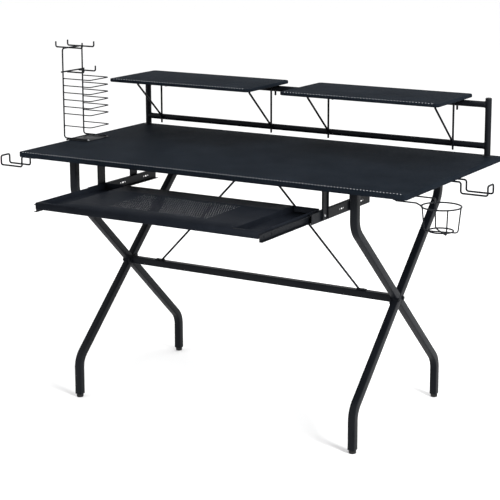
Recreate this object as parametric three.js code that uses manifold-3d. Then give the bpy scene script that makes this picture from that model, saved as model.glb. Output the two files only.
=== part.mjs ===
// Computer desk with a pull-out keyboard tray, two hook-on shelves and wire accessories.
// Millimetres, +Z up, +X to the sitter's right, +Y to the back. The tray is shown pulled out.
import * as THREE from 'three';
import { mergeVertices } from 'three/addons/utils/BufferGeometryUtils.js';
import Module from 'manifold-3d';

const wasm = await Module();
wasm.setup();

// Fits
const gap = 0.3;
const weld = 1;

// How far a cutting block reaches past what it cuts
const past = 2;
const trim = 20;

// Desktop
const deskWidth = 1200;
const deskDepth = 620;
const deskTop = 705;
const boardThick = 15;
const boardEdge = 2.5;
const boardCorner = 10;
const deskUnder = deskTop - boardThick;

// Side frames: S-bent square tube, crossing at mid height
const legX = 438;
const legTube = 20;
const legWall = 1.2;
const legCorner = 1.5;
const legFrontY = -264;
const legRearY = 247;
const bendRadius = 60;
const bendLow = 112.5;
const bendHigh = 590.5;
const footHeight = 9.5;
const footRadius = 9.8;
const footRound = 2.5;
const footStem = 18;
const footStemClear = 0.8;
const mountBarThick = 3;
const mountBarWide = 25;
const mountBarOverhang = 25;
const crossY = (legFrontY + legRearY) / 2;
const crossZ = (bendLow + bendHigh) / 2;
const legTop = deskUnder - mountBarThick - 2 * gap;
const legFoot = footHeight + gap;

// Stretcher and braces
const stretcherEnd = legX - legTube / 2 - gap;
const endPlate = { thick: 3, wide: 46, high: 24, vent: 5 };
const boltRadius = 3;
const boltHeadRadius = 5.5;
const boltHeadThick = 3.2;
const boltSocket = { radius: 2.2, floor: 1.2 };
const boltProud = 0.2;
const boltPlaces = [crossY - 14, crossY + 14];
const braceRadius = 3;
const braceLowX = 322;
const braceHighX = 10;
const braceTab = { length: 28, wide: 14, thick: 2.5, lowBack: 6, highBack: 4 };

// Rear frame: round posts and two rails
const postX = 566;
const postY = 284;
const railRadius = 9;
const railWall = 1.2;
const postTop = 865.5;
const capThick = 3;
const capStem = 12;
const postBoltRise = 20;
const postRing = { radius: 14, thick: 3 };
const upperRailZ = 848.7;
const lowerRailZ = 733.7;

// Hook-on shelves
const shelf = { width: 484, depth: 240, thick: 10, corner: 12, edge: 2.2, frontY: 61 };
const shelfCentres = { left: -312, right: 272 };
const bracketSpread = 196;
const bracketRadius = 3;
const armZ = upperRailZ + railRadius + gap + bracketRadius;
const armFrontY = 134;
const rodY = postY - railRadius - bracketRadius - 2 * gap;
const hookY = postY + railRadius + bracketRadius + 2 * gap;
const hookLowZ = 826;
const rodLowZ = 717;
const diagonalLowZ = 738;
const bracketBend = 7;
const shelfUnder = armZ + bracketRadius + gap;

// Keyboard tray, formed from sheet
const sheet = 1.2;
const tray = {
  halfWidth: 335, frontY: -566, rearY: -261, low: 616, top: 634, deckHalf: 262, channelZ: 618, rim: 12,
};

// Telescopic slides
const slideZ = 617.5;
const outerSlide = { height: 27, depth: 10.4, frontY: -325, rearY: 0 };
const innerSlide = { height: 20, depth: 8.6, frontY: -562, rearY: -262 };
const retainer = {
  height: 23.1, depth: 7.2, thick: 0.8, frontY: -322, rearY: -266, clear: 0.6,
  ball: 1.05, balls: 3, firstBall: 8, ballPitch: 20,
};
const slideWebX = tray.halfWidth + 12.8;
const slotHole = { radius: 2.2, pitch: 10, length: 8, halfHigh: 2, past: 4, stations: [-162, -50] };
const hanger = { wide: 30, thick: 2, lip: 5, flange: 24, low: 606, stations: { front: -258, rear: -106 } };

// Wire accessories
const cup = { x: 687, y: -298, topZ: 684, lowZ: 624.5, topRadius: 48.5, lowRadius: 30, wire: 2, rib: 1.75 };
const cupRibAngles = [10, -48];
const cupRib = { inset: 0.5, waistInset: 7, bend: 8 };
const cupArm = {
  inX: 566, bend: 12,
  front: { y: -300, outX: 622, meets: 200 },
  rear: { y: -226, outX: 638, meets: 131 },
};
const cupPlate = { inX: 562, outX: 590, frontY: -306, rearY: -220 };
const hookWire = {
  radius: 2.5, spacing: 37, inX: 562, dropX: 611, tipX: 686, lowZ: 656, tipZ: 682, bend: 6,
};
const hookPlate = { inset: 3, reach: 28 };
const hookCentres = { left: -263, right: 16 };
const platePatch = { thick: 2, margin: 6 };
const rack = {
  x: -618, frontY: -75, rearY: 18, topZ: 973, wire: 2.25, bend: 8, footX: -535,
  loopX: -522, loopWire: 1.6, loopBend: 9, edgeGap: 4.6, barOver: 8,
};
const rackPlate = { inX: -530, outX: -598, frontY: -82, rearY: 28, thick: 1.75 };
const rackFootZ = deskTop + 2 * gap + rackPlate.thick + rack.wire;
const loopTopZ = 885;
const loopPitch = 20.65;
const loopCount = 6;
const loopLowestZ = 746;
const rackHook = {
  stations: [-54, 2], inX: -562, outX: -658, rise: 16, midZ: 902.5, bend: 5, sunk: 1, midInset: 4, lap: 2,
};

const looks = {
  board: { color: 0x262a30, roughness: 0.55, metalness: 0.0 },
  steel: { color: 0x1d1f22, roughness: 0.45, metalness: 0.35 },
  sheetSteel: { color: 0x202329, roughness: 0.5, metalness: 0.3 },
  plastic: { color: 0x222325, roughness: 0.6, metalness: 0.0 },
  zinc: { color: 0x8b8e93, roughness: 0.35, metalness: 0.9 },
};

const vec = (x, y, z) => new THREE.Vector3(x, y, z);

function solidOf(geometry) {
  const plain = geometry.clone();
  plain.deleteAttribute('normal');
  plain.deleteAttribute('uv');
  const welded = mergeVertices(plain, 1e-4);
  const mesh = new wasm.Mesh({
    numProp: 3,
    vertProperties: new Float32Array(welded.attributes.position.array),
    triVerts: new Uint32Array(welded.index.array),
  });
  return new wasm.Manifold(mesh);
}

function geometryOf(solid) {
  const mesh = solid.getMesh();
  const geometry = new THREE.BufferGeometry();
  geometry.setAttribute('position', new THREE.BufferAttribute(new Float32Array(mesh.vertProperties), 3));
  geometry.setIndex(new THREE.BufferAttribute(new Uint32Array(mesh.triVerts), 1));
  geometry.computeVertexNormals();
  return geometry;
}

function join(geometries) {
  const solids = geometries.map(solidOf);
  return geometryOf(solids.reduce((sum, next) => sum.add(next)));
}

function cut(geometry, tools) {
  const solids = tools.map(solidOf);
  return geometryOf(solids.reduce((rest, tool) => rest.subtract(tool), solidOf(geometry)));
}

function polygon(radius, sides) {
  const points = [];
  for (let i = 0; i < sides; i += 1) {
    const angle = (2 * Math.PI * (i + 0.5)) / sides;
    points.push(new THREE.Vector2(radius * Math.cos(angle), radius * Math.sin(angle)));
  }
  return points;
}

function roundedRect(width, height, corner, steps) {
  const points = [];
  const signs = [[1, 1], [-1, 1], [-1, -1], [1, -1]];
  signs.forEach(([sx, sy], quarter) => {
    for (let i = 0; i <= steps; i += 1) {
      const angle = (Math.PI / 2) * (quarter + i / steps);
      const x = sx * (width / 2 - corner) + corner * Math.cos(angle);
      const y = sy * (height / 2 - corner) + corner * Math.sin(angle);
      points.push(new THREE.Vector2(x, y));
    }
  });
  return points;
}

function squareTubeShape() {
  const shape = new THREE.Shape(roundedRect(legTube, legTube, legCorner, 2));
  const inside = legTube - 2 * legWall;
  shape.holes.push(new THREE.Path(roundedRect(inside, inside, 0.6, 1)));
  return shape;
}

function roundTubeShape(radius, wall) {
  const shape = new THREE.Shape(polygon(radius, 20));
  shape.holes.push(new THREE.Path(polygon(radius - wall, 12)));
  return shape;
}

// A path through fixed stations, so that straight runs take one step and bends take several.
class StationPath extends THREE.Curve {
  constructor(stations) {
    super();
    this.stations = stations;
  }

  getPoint(t) {
    const last = this.stations.length - 1;
    const index = Math.min(Math.floor(t * last + 1e-9), last - 1);
    return this.stations[index].clone().lerp(this.stations[index + 1], t * last - index);
  }

  getPointAt(t) {
    return this.getPoint(t);
  }

  getTangentAt(t) {
    const last = this.stations.length - 1;
    const index = Math.round(t * last);
    const here = this.stations[index];
    const arriving = here.clone().sub(this.stations[Math.max(index - 1, 0)]).normalize();
    const leaving = this.stations[Math.min(index + 1, last)].clone().sub(here).normalize();
    return arriving.add(leaving).normalize();
  }
}

function bentStations(corners, radius, steps) {
  const stations = [corners[0].clone()];
  for (let i = 1; i < corners.length - 1; i += 1) {
    const back = corners[i - 1].clone().sub(corners[i]).normalize();
    const ahead = corners[i + 1].clone().sub(corners[i]).normalize();
    const halfTurn = (Math.PI - back.angleTo(ahead)) / 2;
    const toCentre = back.clone().add(ahead).normalize();
    const centre = corners[i].clone().addScaledVector(toCentre, radius / Math.cos(halfTurn));
    const start = corners[i].clone().addScaledVector(back, radius * Math.tan(halfTurn)).sub(centre);
    const end = corners[i].clone().addScaledVector(ahead, radius * Math.tan(halfTurn)).sub(centre);
    const axis = start.clone().cross(end).normalize();
    for (let k = 0; k <= steps; k += 1) {
      stations.push(start.clone().applyAxisAngle(axis, (2 * halfTurn * k) / steps).add(centre));
    }
  }
  stations.push(corners[corners.length - 1].clone());
  return stations;
}

function sweep(shape, corners, radius, steps) {
  const stations = corners.length > 2 ? bentStations(corners, radius, steps) : corners;
  return new THREE.ExtrudeGeometry(shape, {
    steps: stations.length - 1,
    bevelEnabled: false,
    extrudePath: new StationPath(stations),
  });
}

function wire(radius, corners, bend = 0, steps = 4, sides = 8) {
  return sweep(new THREE.Shape(polygon(radius, sides)), corners, bend, steps);
}

function block(x0, x1, y0, y1, z0, z1) {
  const geometry = new THREE.BoxGeometry(x1 - x0, y1 - y0, z1 - z0);
  return geometry.translate((x0 + x1) / 2, (y0 + y1) / 2, (z0 + z1) / 2);
}

function ring(majorRadius, minorRadius, sides) {
  const profile = polygon(minorRadius, 8).map((point) => new THREE.Vector2(point.x + majorRadius, point.y));
  profile.push(profile[0].clone());
  return new THREE.LatheGeometry(profile, sides).rotateX(Math.PI / 2);
}

function lathe(pairs, sides) {
  const profile = pairs.map(([radius, height]) => new THREE.Vector2(radius, height));
  return new THREE.LatheGeometry(profile, sides).rotateX(Math.PI / 2);
}

function rodAlongX(radius, x0, x1, y, z, sides = 12) {
  const geometry = new THREE.CylinderGeometry(radius, radius, x1 - x0, sides);
  return geometry.rotateZ(Math.PI / 2).translate((x0 + x1) / 2, y, z);
}

function board(width, depth, thick, corner, edge) {
  const inner = new THREE.Shape(roundedRect(width - 2 * edge, depth - 2 * edge, corner - edge, 3));
  const geometry = new THREE.ExtrudeGeometry(inner, {
    depth: thick - 2 * edge,
    bevelThickness: edge,
    bevelSize: edge,
    bevelSegments: 2,
    curveSegments: 1,
  });
  return geometry.translate(0, 0, edge);
}

const desk = new THREE.Group();

function addPart(name, geometry, look) {
  const part = new THREE.Mesh(geometry, new THREE.MeshStandardMaterial(looks[look]));
  part.name = name;
  desk.add(part);
}

function addDesktop() {
  const geometry = board(deskWidth, deskDepth, boardThick, boardCorner, boardEdge);
  geometry.translate(0, 0, deskUnder);
  const boltHole = boltRadius + gap;
  const holes = [-postX, postX].map((x) => {
    const tool = new THREE.CylinderGeometry(boltHole, boltHole, 2 * boardThick, 12);
    return tool.rotateX(Math.PI / 2).translate(x, postY, deskUnder + boardThick / 2);
  });
  addPart('desktop', cut(geometry, holes), 'board');
}

const sides = [['left', -1], ['right', 1]];

// One bent tube runs from the front foot to the rear top; two shorter ones meet it from either side.
function addSideFrame(side, sign) {
  const x = sign * legX;
  const shape = squareTubeShape();
  const cross = vec(x, crossY, crossZ);
  const long = [vec(x, legFrontY, legFoot), vec(x, legFrontY, bendLow), vec(x, legRearY, bendHigh)];
  long.push(vec(x, legRearY, legTop));
  const bore = (y) => rodAlongX(boltRadius + gap, x - legTube, x + legTube, y, crossZ);
  const bores = () => boltPlaces.map(bore);
  addPart(`${side}_leg_long`, cut(sweep(shape, long, bendRadius, 5), bores()), 'steel');

  const slope = Math.atan2(bendHigh - bendLow, legRearY - legFrontY);
  const clearance = new THREE.BoxGeometry(2 * legTube, 6 * legTube, legTube + 2 * gap);
  clearance.rotateX(slope).translate(x, crossY, crossZ);
  const upper = [vec(x, legFrontY, legTop), vec(x, legFrontY, bendHigh), cross];
  const lower = [vec(x, legRearY, legFoot), vec(x, legRearY, bendLow), cross];
  addPart(`${side}_leg_upper`, cut(sweep(shape, upper, bendRadius, 5), [clearance, ...bores()]), 'steel');
  addPart(`${side}_leg_lower`, cut(sweep(shape, lower, bendRadius, 5), [clearance, ...bores()]), 'steel');

  const barY0 = legFrontY - mountBarOverhang;
  const barY1 = legRearY + mountBarOverhang;
  const barX = mountBarWide / 2;
  const barTop = deskUnder - gap;
  const bar = block(x - barX, x + barX, barY0, barY1, barTop - mountBarThick, barTop);
  addPart(`${side}_mount_bar`, bar, 'steel');
  addFoot(`foot_front_${side}`, x, legFrontY);
  addFoot(`foot_rear_${side}`, x, legRearY);
}

function addFoot(name, x, y) {
  const round = footRound;
  const chamfer = 0.3 * round;
  const stem = legTube / 2 - legWall - footStemClear;
  const stemTop = footHeight + footStem;
  const profile = [
    [0, 0], [footRadius - round, 0], [footRadius - chamfer, chamfer], [footRadius, round],
    [footRadius, footHeight], [stem, footHeight], [stem, stemTop], [0, stemTop],
  ];
  addPart(name, lathe(profile, 24).translate(x, y, 0), 'plastic');
}

// A square tube with a flat plate welded on each end, bolted to the crossing of each side frame.
function addStretcher() {
  const tubeEnd = stretcherEnd - endPlate.thick / 2;
  const tube = sweep(squareTubeShape(), [vec(-tubeEnd, crossY, crossZ), vec(tubeEnd, crossY, crossZ)]);
  const pieces = [tube];
  const bores = [];
  sides.forEach(([side, sign]) => {
    const x0 = sign > 0 ? stretcherEnd - endPlate.thick : -stretcherEnd;
    const [halfY, halfZ] = [endPlate.wide / 2, endPlate.high / 2];
    const x1 = x0 + endPlate.thick;
    pieces.push(block(x0, x1, crossY - halfY, crossY + halfY, crossZ - halfZ, crossZ + halfZ));
    bores.push(rodAlongX(endPlate.vent, x0 - past, x1 + past, crossY, crossZ));
    boltPlaces.forEach((y) => {
      bores.push(rodAlongX(boltRadius + gap, x0 - past, x1 + past, y, crossZ));
    });
    addFrameBolt(`frame_bolt_front_${side}`, sign, boltPlaces[0]);
    addFrameBolt(`frame_bolt_rear_${side}`, sign, boltPlaces[1]);
  });
  addPart('stretcher', cut(join(pieces), bores), 'steel');
}

function addFrameBolt(name, sign, y) {
  const faceX = legX + legTube / 2 + gap;
  const shank = rodAlongX(boltRadius, stretcherEnd - endPlate.thick - boltProud, faceX + 1, 0, 0);
  const head = rodAlongX(boltHeadRadius, faceX, faceX + boltHeadThick, 0, 0, 16);
  const socket = rodAlongX(boltSocket.radius, faceX + boltSocket.floor, faceX + boltHeadThick + 1, 0, 0, 6);
  const bolt = cut(join([shank, head]), [socket]);
  if (sign < 0) bolt.rotateZ(Math.PI);
  addPart(name, bolt.translate(0, y, crossZ), 'zinc');
}

function addBrace(side, sign) {
  const lowZ = crossZ + legTube / 2 + gap;
  const highZ = deskUnder - gap;
  const halfTab = braceTab.wide / 2;
  const lowX = braceLowX - braceTab.lowBack;
  const highX = braceHighX - braceTab.highBack;
  const lowTab = block(
    lowX, lowX + braceTab.length, -halfTab, halfTab, lowZ, lowZ + braceTab.thick,
  );
  const highTab = block(
    highX, highX + braceTab.length, -halfTab, halfTab, highZ - braceTab.thick, highZ,
  );
  const rod = wire(braceRadius, [
    vec(braceLowX, 0, lowZ + braceTab.thick / 2), vec(braceHighX, 0, highZ - braceTab.thick / 2),
  ], 0, 1, 10);
  const trims = [
    block(braceLowX - 2 * trim, braceLowX + 2 * trim, -trim, trim, lowZ - trim, lowZ),
    block(braceHighX - 2 * trim, braceHighX + 2 * trim, -trim, trim, highZ, highZ + trim),
  ];
  const brace = cut(join([rod, lowTab, highTab]), trims);
  if (sign < 0) brace.rotateZ(Math.PI);
  addPart(`brace_${side}`, brace.translate(0, crossY, 0), 'steel');
}

function addPost(side, sign) {
  const x = sign * postX;
  const low = deskTop + gap;
  const tube = sweep(roundTubeShape(railRadius, railWall), [vec(x, postY, low), vec(x, postY, postTop)]);
  addPart(`post_${side}`, tube, 'steel');

  const stem = railRadius - railWall - 2 * gap;
  const cap = [
    [0, postTop - capStem], [stem, postTop - capStem], [stem, postTop + gap], [railRadius, postTop + gap],
    [railRadius, postTop + capThick * 0.5], [railRadius * 0.75, postTop + capThick * 0.9],
    [0, postTop + capThick],
  ];
  addPart(`post_cap_${side}`, lathe(cap, 20).translate(x, postY, 0), 'plastic');

  const hole = railRadius + gap;
  const flange = [
    [hole, low], [postRing.radius, low], [postRing.radius, low + postRing.thick * 0.6],
    [postRing.radius - 1.2, low + postRing.thick], [hole, low + postRing.thick], [hole, low],
  ];
  addPart(`post_ring_${side}`, lathe(flange, 24).translate(x, postY, 0), 'steel');

  const headLow = deskUnder - gap - boltHeadThick;
  const boltTop = deskTop + postBoltRise;
  const bolt = [
    [0, headLow], [boltHeadRadius, headLow], [boltHeadRadius, headLow + boltHeadThick],
    [boltRadius, headLow + boltHeadThick], [boltRadius, boltTop], [0, boltTop],
  ];
  addPart(`post_bolt_${side}`, lathe(bolt, 16).translate(x, postY, 0), 'zinc');
}

function addRail(name, z) {
  const tube = sweep(roundTubeShape(railRadius, railWall), [vec(-postX, postY, z), vec(postX, postY, z)]);
  const copes = [-postX, postX].map((x) => {
    const tool = new THREE.CylinderGeometry(railRadius + gap, railRadius + gap, 60, 20);
    return tool.rotateX(Math.PI / 2).translate(x, postY, z);
  });
  const ends = [-1, 1].map((sign) => {
    const tool = block(-trim, trim, -trim, trim, -trim, trim);
    return tool.translate(sign * (postX + trim), postY, z);
  });
  addPart(name, cut(tube, [...copes, ...ends]), 'steel');
}

function addBracket(name, x) {
  const bent = wire(bracketRadius, [
    vec(x, hookY, hookLowZ), vec(x, hookY, armZ), vec(x, armFrontY, armZ), vec(x, rodY, diagonalLowZ),
  ], bracketBend);
  const rod = wire(bracketRadius, [vec(x, rodY, rodLowZ), vec(x, rodY, armZ)]);
  addPart(name, join([bent, rod]), 'steel');
}

function addShelf(side) {
  const centre = shelfCentres[side];
  const geometry = board(shelf.width, shelf.depth, shelf.thick, shelf.corner, shelf.edge);
  addPart(`shelf_${side}`, geometry.translate(centre, shelf.frontY + shelf.depth / 2, shelfUnder), 'board');
  addBracket(`bracket_${side}_a`, centre - bracketSpread);
  addBracket(`bracket_${side}_b`, centre + bracketSpread);
}

// A raised deck with a lower channel on each side, walled all round.
function addTray() {
  const { halfWidth, frontY, rearY, low, top, deckHalf, channelZ, rim } = tray;
  const [y0, y1] = [frontY + sheet, rearY - sheet];
  const deckX = deckHalf - sheet;
  const hollows = [block(-deckX, deckX, y0, y1, low - past, top - sheet)];
  sides.forEach(([, sign]) => {
    const span = (from, to) => [Math.min(sign * from, sign * to), Math.max(sign * from, sign * to)];
    const above = span(deckHalf, halfWidth - sheet);
    const below = span(deckX - past, halfWidth - sheet);
    hollows.push(block(...above, frontY + rim, y1, channelZ + sheet, top + past));
    hollows.push(block(...below, y0, y1, low - 2 * past, channelZ));
    hollows.push(block(...below, y0, frontY + rim - sheet, low - 3 * past, top - sheet));
  });
  const whole = block(-halfWidth, halfWidth, frontY, rearY, low, top);
  addPart('keyboard_tray', cut(whole, hollows), 'sheetSteel');
}

// A C-shaped section that opens towards the tray (opens = -1) or away from it (opens = 1).
function channelSection(webX, depth, height, thick, opens) {
  const shape = new THREE.Shape();
  const half = height / 2;
  const tip = webX + opens * depth;
  const inside = webX + opens * thick;
  shape.moveTo(webX, -half);
  shape.lineTo(tip, -half);
  shape.lineTo(tip, -half + thick);
  shape.lineTo(inside, -half + thick);
  shape.lineTo(inside, half - thick);
  shape.lineTo(tip, half - thick);
  shape.lineTo(tip, half);
  shape.lineTo(webX, half);
  return shape;
}

function slideMember(shape, frontY, rearY) {
  const geometry = new THREE.ExtrudeGeometry(shape, { depth: rearY - frontY, bevelEnabled: false });
  return geometry.rotateX(Math.PI / 2).translate(0, rearY, slideZ);
}

function slideHoles() {
  const tools = [];
  const x0 = slideWebX - slotHole.past;
  const x1 = slideWebX + slotHole.past;
  const { radius, pitch, halfHigh } = slotHole;
  slotHole.stations.forEach((y) => {
    [-1, 1].forEach((end) => {
      tools.push(rodAlongX(radius, x0, x1, y + end * pitch, slideZ, 10));
    });
    const half = slotHole.length / 2;
    tools.push(block(x0, x1, y - half, y + half, slideZ - halfHigh, slideZ + halfHigh));
  });
  return tools;
}

function addSlides(side, sign) {
  const mirror = (geometry) => (sign < 0 ? mirrorX(geometry) : geometry);
  const outer = channelSection(slideWebX, outerSlide.depth, outerSlide.height, sheet, -1);
  const outerSolid = cut(slideMember(outer, outerSlide.frontY, outerSlide.rearY), slideHoles());
  addPart(`slide_outer_${side}`, mirror(outerSolid), 'steel');

  const innerX = tray.halfWidth + gap;
  const inner = channelSection(innerX, innerSlide.depth, innerSlide.height, sheet, 1);
  const innerSolid = slideMember(inner, innerSlide.frontY, innerSlide.rearY);
  addPart(`slide_inner_${side}`, mirror(geometryOf(solidOf(innerSolid))), 'steel');

  const cageX = slideWebX - sheet - retainer.clear;
  const cage = channelSection(cageX, retainer.depth, retainer.height, retainer.thick, -1);
  const pieces = [slideMember(cage, retainer.frontY, retainer.rearY)];
  for (let i = 0; i < retainer.balls; i += 1) {
    const y = retainer.frontY + retainer.firstBall + i * retainer.ballPitch;
    [-1, 1].forEach((up) => {
      const ball = new THREE.SphereGeometry(retainer.ball, 8, 6);
      const z = slideZ + up * (retainer.height / 2 - retainer.thick / 2);
      pieces.push(ball.translate(cageX - retainer.depth / 2, y, z));
    });
  }
  addPart(`slide_retainer_${side}`, mirror(join(pieces)), 'zinc');

  Object.entries(hanger.stations).forEach(([place, y]) => {
    addPart(`hanger_${place}_${side}`, mirror(hangerSolid(y)), 'steel');
  });
}

function mirrorX(geometry) {
  return geometryOf(solidOf(geometry).scale([-1, 1, 1]));
}

function hangerSolid(y) {
  const x0 = slideWebX + gap;
  const half = hanger.wide / 2;
  const top = deskUnder - gap;
  const web = block(x0, x0 + hanger.thick, y - half, y + half, hanger.low, top);
  const flange = block(x0, x0 + hanger.flange, y - half, y + half, top - hanger.thick, top);
  const lips = [-1, 1].map((end) => {
    const edge = y + end * (half - hanger.thick / 2);
    return block(x0, x0 + hanger.lip, edge - hanger.thick / 2, edge + hanger.thick / 2, hanger.low, top);
  });
  return join([web, flange, ...lips]);
}

function patch(x0, x1, y0, y1) {
  const top = deskUnder - gap;
  return block(x0, x1, y0, y1, top - platePatch.thick, top);
}

function bentRib(degrees) {
  const angle = THREE.MathUtils.degToRad(degrees);
  const direction = vec(Math.cos(angle), Math.sin(angle), 0);
  const low = cup.lowZ - cup.wire - cup.rib + weld;
  const at = (radius, z) => vec(cup.x, cup.y, z).addScaledVector(direction, radius);
  const top = cup.topRadius - cupRib.inset;
  const waist = cup.topRadius - cupRib.waistInset;
  return wire(cup.rib, [
    at(top, cup.topZ), at(waist, low), at(-waist, low), at(-top, cup.topZ),
  ], cupRib.bend);
}

function addCupHolder() {
  const armHigh = deskUnder - gap - platePatch.thick - cup.wire + weld / 2;
  const ringPoint = (degrees) => {
    const angle = THREE.MathUtils.degToRad(degrees);
    return vec(cup.x + cup.topRadius * Math.cos(angle), cup.y + cup.topRadius * Math.sin(angle), cup.topZ);
  };
  const arm = ({ y, outX, meets }) => wire(cup.wire, [
    vec(cupArm.inX, y, armHigh), vec(outX, y, armHigh), ringPoint(meets),
  ], cupArm.bend);
  const pieces = [
    ring(cup.topRadius, cup.wire, 32).translate(cup.x, cup.y, cup.topZ),
    ring(cup.lowRadius, cup.wire, 28).translate(cup.x, cup.y, cup.lowZ),
    ...cupRibAngles.map(bentRib),
    arm(cupArm.front),
    arm(cupArm.rear),
    patch(cupPlate.inX, cupPlate.outX, cupPlate.frontY, cupPlate.rearY),
  ];
  addPart('cup_holder', join(pieces), 'steel');
}

function addHook(side, sign) {
  const y0 = hookCentres[side] - hookWire.spacing / 2;
  const y1 = hookCentres[side] + hookWire.spacing / 2;
  const armHigh = deskUnder - gap - platePatch.thick - hookWire.radius + weld / 2;
  const { inX, dropX, tipX, lowZ, tipZ } = hookWire;
  const half = (y) => [
    vec(inX, y, armHigh), vec(dropX, y, armHigh), vec(dropX, y, lowZ),
    vec(tipX, y, lowZ), vec(tipX, y, tipZ),
  ];
  const double = wire(hookWire.radius, [...half(y0), ...half(y1).reverse()], hookWire.bend, 3);
  const { inset, reach } = hookPlate;
  const plate = patch(inX + inset, inX + reach, y0 - platePatch.margin, y1 + platePatch.margin);
  const geometry = join([double, plate]);
  addPart(`hook_${side}`, sign < 0 ? mirrorX(geometry) : geometry, 'steel');
}

function addRack() {
  const { x, frontY, rearY, topZ, footX, bend } = rack;
  const frame = wire(rack.wire, [
    vec(footX, frontY, rackFootZ), vec(x, frontY, rackFootZ), vec(x, frontY, topZ),
    vec(x, rearY, topZ), vec(x, rearY, rackFootZ), vec(footX, rearY, rackFootZ),
  ], bend);
  const edgeBarX = -deskWidth / 2 - rack.edgeGap;
  const edgeBarZ = rackFootZ - 2 * rack.wire + weld;
  const barFrontY = frontY - rack.barOver;
  const midBarZ = rackHook.midZ + rackHook.lap;
  const pieces = [
    frame,
    wire(rack.wire, [vec(edgeBarX, barFrontY, edgeBarZ), vec(edgeBarX, rearY + rack.barOver, edgeBarZ)]),
    wire(rack.wire, [vec(x, barFrontY, midBarZ), vec(x, rearY + rackHook.lap, midBarZ)]),
  ];
  rackHook.stations.forEach((y) => {
    const { inX, outX, rise, midZ } = rackHook;
    const high = topZ + rackHook.sunk;
    const midX = inX + rackHook.midInset;
    pieces.push(wire(rack.wire, [
      vec(outX, y, high + rise), vec(outX, y, high), vec(inX, y, high), vec(inX, y, high + rise),
    ], rackHook.bend));
    pieces.push(wire(rack.wire, [
      vec(x, y, midZ), vec(midX, y, midZ), vec(midX, y, midZ + rise),
    ], rackHook.bend));
  });
  addPart('rack_frame', join(pieces), 'steel');

  for (let i = 0; i <= loopCount; i += 1) {
    const z = i < loopCount ? loopTopZ - i * loopPitch : loopLowestZ;
    const startX = x + rack.wire + gap;
    const loop = wire(rack.loopWire, [
      vec(startX, frontY, z), vec(rack.loopX, frontY, z),
      vec(rack.loopX, rearY, z), vec(startX, rearY, z),
    ], rack.loopBend);
    addPart(`rack_loop_${i + 1}`, loop, 'steel');
  }
  const plateLow = deskTop + gap;
  const plate = block(
    rackPlate.outX, rackPlate.inX, rackPlate.frontY, rackPlate.rearY, plateLow, plateLow + rackPlate.thick,
  );
  addPart('rack_base_plate', plate, 'steel');
}

addDesktop();
sides.forEach(([side, sign]) => {
  addSideFrame(side, sign);
  addBrace(side, sign);
  addPost(side, sign);
  addShelf(side);
  addSlides(side, sign);
  addHook(side, sign);
});
addStretcher();
addRail('upper_rail', upperRailZ);
addRail('lower_rail', lowerRailZ);
addTray();
addCupHolder();
addRack();

// The origin sits under the middle of the whole desk, on the floor.
const bounds = new THREE.Box3().setFromObject(desk);
const middle = bounds.getCenter(new THREE.Vector3());
desk.position.set(-middle.x, -middle.y, -bounds.min.z);

export default desk;
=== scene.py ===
import math

import bmesh
import bpy
from mathutils import Matrix, Vector


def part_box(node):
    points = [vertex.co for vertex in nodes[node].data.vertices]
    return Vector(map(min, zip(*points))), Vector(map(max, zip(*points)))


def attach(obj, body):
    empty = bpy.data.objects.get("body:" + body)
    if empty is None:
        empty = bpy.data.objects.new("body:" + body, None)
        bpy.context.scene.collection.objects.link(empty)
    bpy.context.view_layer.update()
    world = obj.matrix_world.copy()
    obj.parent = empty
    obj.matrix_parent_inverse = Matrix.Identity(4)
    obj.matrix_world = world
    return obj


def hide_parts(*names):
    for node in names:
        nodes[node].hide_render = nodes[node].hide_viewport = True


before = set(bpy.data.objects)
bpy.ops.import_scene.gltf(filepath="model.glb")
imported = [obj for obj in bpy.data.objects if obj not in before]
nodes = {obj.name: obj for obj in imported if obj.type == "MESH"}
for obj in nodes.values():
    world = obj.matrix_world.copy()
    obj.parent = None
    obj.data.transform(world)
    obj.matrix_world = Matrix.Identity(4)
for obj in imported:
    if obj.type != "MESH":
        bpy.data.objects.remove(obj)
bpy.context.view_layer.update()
print("frame loaded:", len(nodes), "nodes")

mm = 0.001
mergeReach = 1e-7
closeEnough = 1e-5
deskLow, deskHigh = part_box("desktop")
deskMiddle = (deskLow + deskHigh) / 2
deskUnder = deskLow.z


def at(x, y, z):
    # a point measured from the middle of the desktop in plan and from the floor in height, in mm
    return Vector((deskMiddle.x + x * mm, deskMiddle.y + y * mm, z * mm))


# ---- camera, lights, floor
view = {
    "place": (2118, -3571, 1443),
    "tilt": 79.12,
    "turn": 30.22,
    "lens": 109.0,
    "sensor": 36,
    "shiftX": -0.04,
    "shiftY": -0.15,
    "clipEnd": 60,
}
camera = bpy.data.objects.new("camera", bpy.data.cameras.new("camera"))
bpy.context.scene.collection.objects.link(camera)
camera.location = at(*view["place"])
camera.rotation_euler = (math.radians(view["tilt"]), 0, math.radians(view["turn"]))
camera.data.lens = view["lens"]
camera.data.sensor_width = view["sensor"]
camera.data.shift_x = view["shiftX"]
camera.data.shift_y = view["shiftY"]
camera.data.clip_end = view["clipEnd"]
bpy.context.scene.camera = camera

studio = {
    "worldColour": (1.0, 1.0, 1.0),
    "worldStrength": 1.02,
    "floorColour": (0.97, 0.97, 0.97),
    "floorRough": 0.9,
    "floorShine": 0.1,
    "floorHalf": 30,
    "aim": (0, 0, 0.45),
    # name, place, width and power of each lamp
    "lamps": [
        ("keyLamp", (4.4, -1.6, 3.0), 1.8, 300),
        ("fillLamp", (-3.6, -3.4, 3.0), 2.6, 30),
        ("topLamp", (0.2, 0.6, 4.2), 3.0, 60),
    ],
}


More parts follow.
